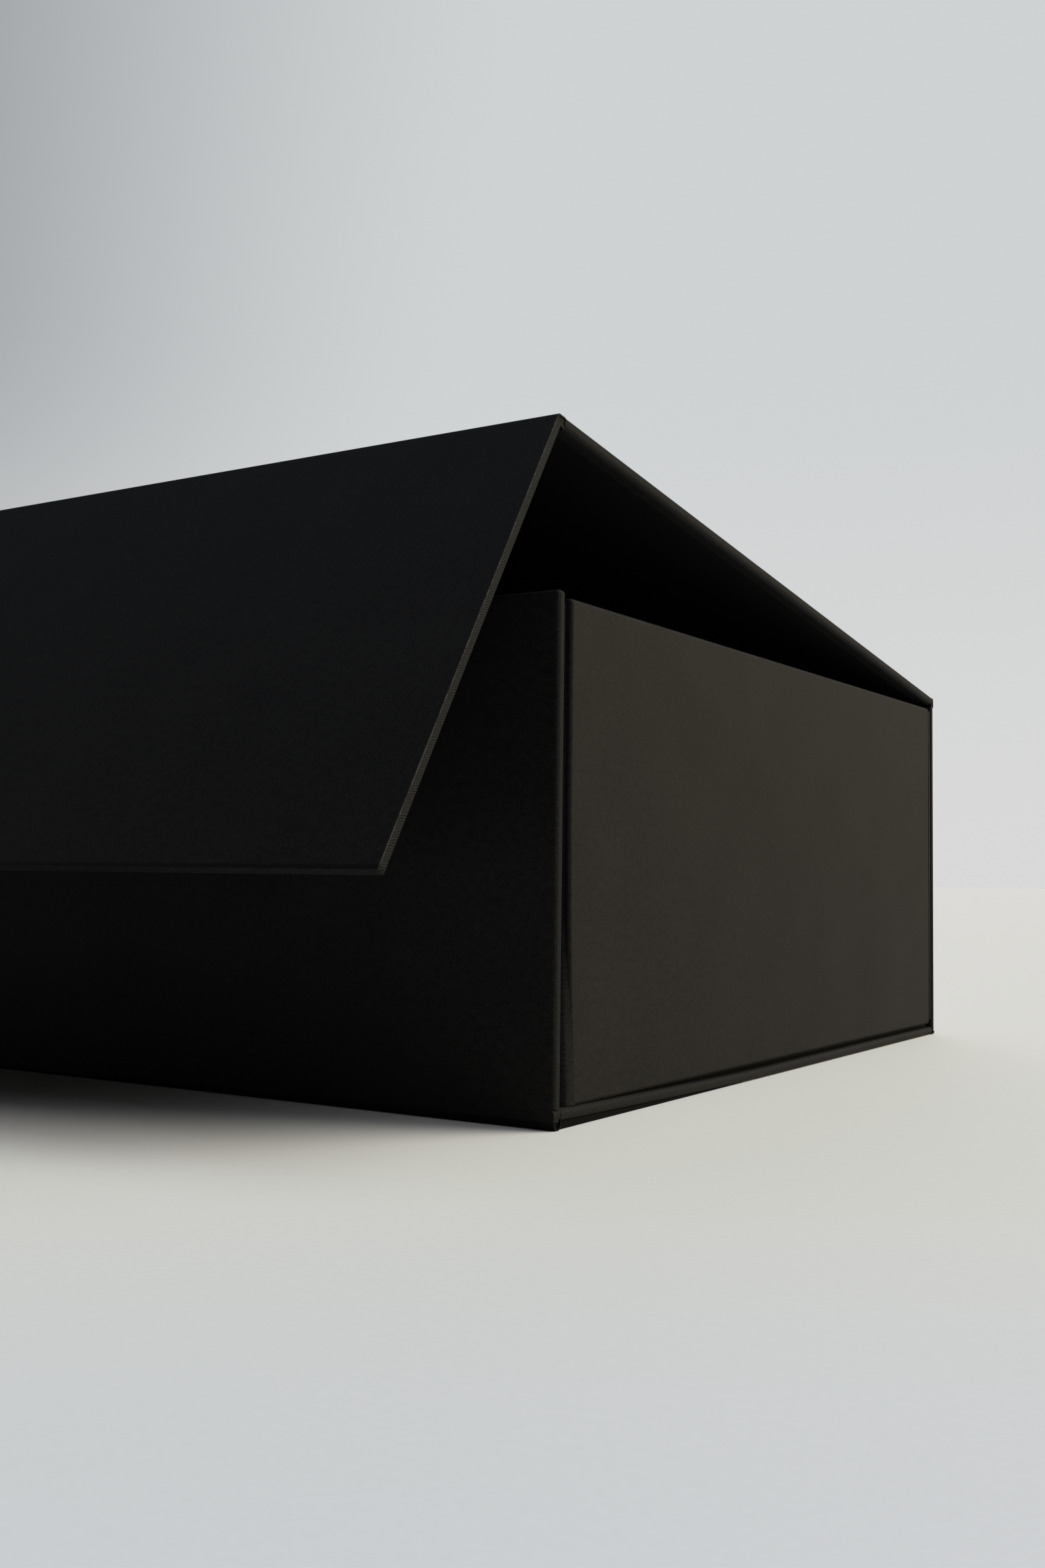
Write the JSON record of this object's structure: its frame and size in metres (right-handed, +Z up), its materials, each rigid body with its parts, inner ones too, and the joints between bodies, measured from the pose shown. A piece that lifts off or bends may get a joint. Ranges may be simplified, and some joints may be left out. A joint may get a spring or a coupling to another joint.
{
  "type": "magnetic closure presentation box",
  "caption": "Paper-wrapped folding presentation box with a hinged lid, a magnetic front flap and taped-in side walls, standing slightly open.",
  "frame": {"origin": "middle of the base's underside, on the surface that the box stands on", "axes": "+X along the box's length, +Y towards its back wall, +Z up"},
  "size_m": [0.33, 0.2823, 0.1343],
  "materials": {
    "wrap_paper": "matte",
    "fold_paper": "matte",
    "lining_paper": "matte",
    "board": "matte",
    "tape": "matte",
    "steel_disc": "satin"
  },
  "bodies": {
    "box": {"back_board": "board", "back_liner": "lining_paper", "back_wrap": "wrap_paper", "base_board": "board", "base_liner": "lining_paper", "base_wrap": "wrap_paper", "corner_web_back_left": "fold_paper", "corner_web_back_right": "fold_paper", "corner_web_front_left": "fold_paper", "corner_web_front_right": "fold_paper", "fold_back_lid": "fold_paper", "fold_base_back": "fold_paper", "fold_front_base": "fold_paper", "front_board": "board", "front_liner": "lining_paper", "front_wrap": "wrap_paper", "keeper_disc_left": "steel_disc", "keeper_disc_right": "steel_disc", "side_board_left": "board", "side_board_right": "board", "side_liner_left": "lining_paper", "side_liner_right": "lining_paper", "side_wrap_left": "wrap_paper", "side_wrap_right": "wrap_paper", "wing_board_back_left": "board", "wing_board_back_right": "board", "wing_board_front_left": "board", "wing_board_front_right": "board", "wing_tape_back_left": "tape", "wing_tape_back_right": "tape", "wing_tape_front_left": "tape", "wing_tape_front_right": "tape", "wing_wrap_back_left": "wrap_paper", "wing_wrap_back_right": "wrap_paper", "wing_wrap_front_left": "wrap_paper", "wing_wrap_front_right": "wrap_paper"},
    "lid": {"lid_board": "board", "lid_liner": "lining_paper", "lid_wrap": "wrap_paper", "fold_lid_flap": "fold_paper"},
    "flap": {"flap_board": "board", "flap_liner": "lining_paper", "flap_magnet_left": "steel_disc", "flap_magnet_right": "steel_disc", "flap_wrap": "wrap_paper"}
  },
  "joints": [
    {"name": "lid_hinge", "type": "hinge", "parent": "box", "child": "lid", "pos_m": [0, 0.114, 0.10375], "axis": [-1, 0, 0], "range_deg": [-7.6, 172.4], "deforming": ["fold_back_lid"]},
    {"name": "flap_hinge", "type": "hinge", "parent": "lid", "child": "flap", "pos_m": [0, -0.11492, 0.13429], "axis": [-1, 0, 0], "range_deg": [-24.1, 65.9], "deforming": ["fold_lid_flap"]}
  ]
}
